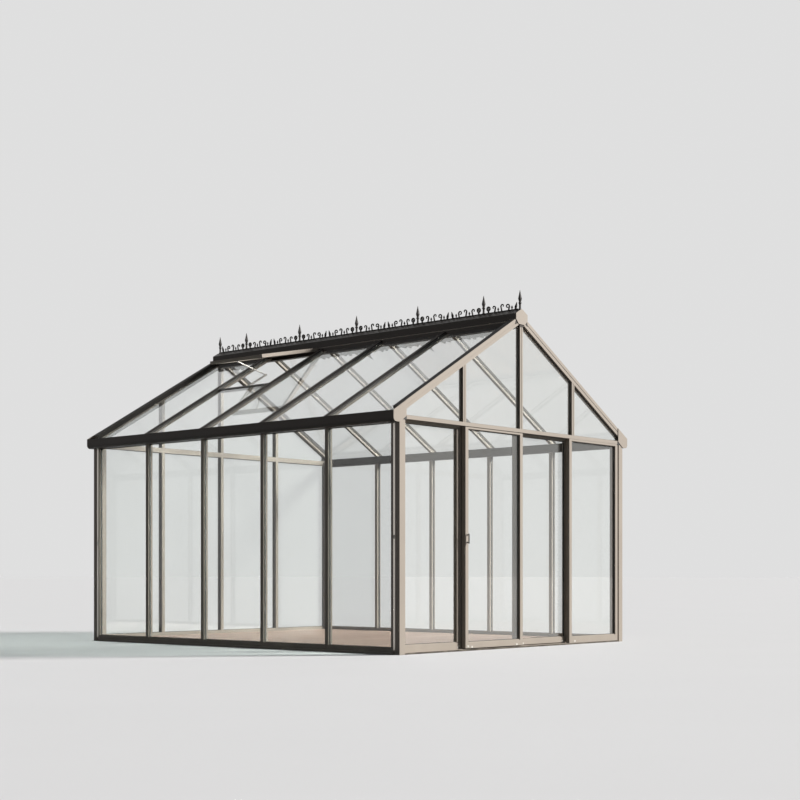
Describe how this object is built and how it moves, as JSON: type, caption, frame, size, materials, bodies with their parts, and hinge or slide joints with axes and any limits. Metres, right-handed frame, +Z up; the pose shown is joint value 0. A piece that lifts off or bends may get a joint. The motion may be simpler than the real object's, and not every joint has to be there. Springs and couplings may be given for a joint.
{
  "type": "sunroom",
  "caption": "Free-standing glass garden room with a pitched roof, ornamental ridge cresting, an open roof vent and double sliding doors.",
  "frame": {"origin": "centre of the outer box, on the level that the building stands on", "axes": "+X across the gables to the right seen from the front, +Y along the ridge from the door gable to the rear gable, +Z up"},
  "size_m": [3.506, 4.196, 3.2821],
  "materials": {
    "frame": "satin powder coat, anthracite",
    "cresting": "satin powder coat, anthracite",
    "glass": "clear",
    "floor": "oiled boards",
    "fittings": "black satin",
    "runners": "matt"
  },
  "bodies": {
    "building": {"floor": "floor", "side_base_rails": "frame", "rear_base_rail": "frame", "front_sill": "frame", "corner_posts": "frame", "wall_posts": "frame", "rear_posts": "frame", "front_tie_beam": "frame", "door_head_rails": "frame", "rear_tie_beam": "frame", "front_upper_bars": "frame", "rear_upper_bars": "frame", "front_rafters": "frame", "rear_rafters": "frame", "left_gutter": "frame", "right_gutter": "frame", "eave_plates": "frame", "apex_plates": "frame", "ridge_beam": "frame", "ridge_cresting": "cresting", "ridge_spikes": "cresting", "left_roof_bars": "frame", "right_roof_bars": "frame", "left_roof_glass": "glass", "right_roof_glass": "glass", "left_wall_glass": "glass", "right_wall_glass": "glass", "rear_wall_glass": "glass", "front_upper_glass": "glass", "rear_upper_glass": "glass", "fixed_panel_frames": "frame", "fixed_panel_glass": "glass", "vent_crossbar": "frame", "vent_sash": "frame", "vent_glass": "glass", "vent_opener": "fittings"},
    "right_door": {"right_door_frame": "frame", "right_door_glass": "glass", "right_door_runners": "runners"},
    "left_door": {"left_door_frame": "frame", "left_door_glass": "glass", "left_door_runners": "runners", "left_door_handle": "fittings"}
  },
  "joints": [
    {"name": "right_door_slide", "type": "slide", "parent": "building", "child": "right_door", "axis": [1, 0, 0], "range_m": [0, 0.777]},
    {"name": "left_door_slide", "type": "slide", "parent": "building", "child": "left_door", "axis": [-1, 0, 0], "range_m": [0, 0.777]}
  ]
}
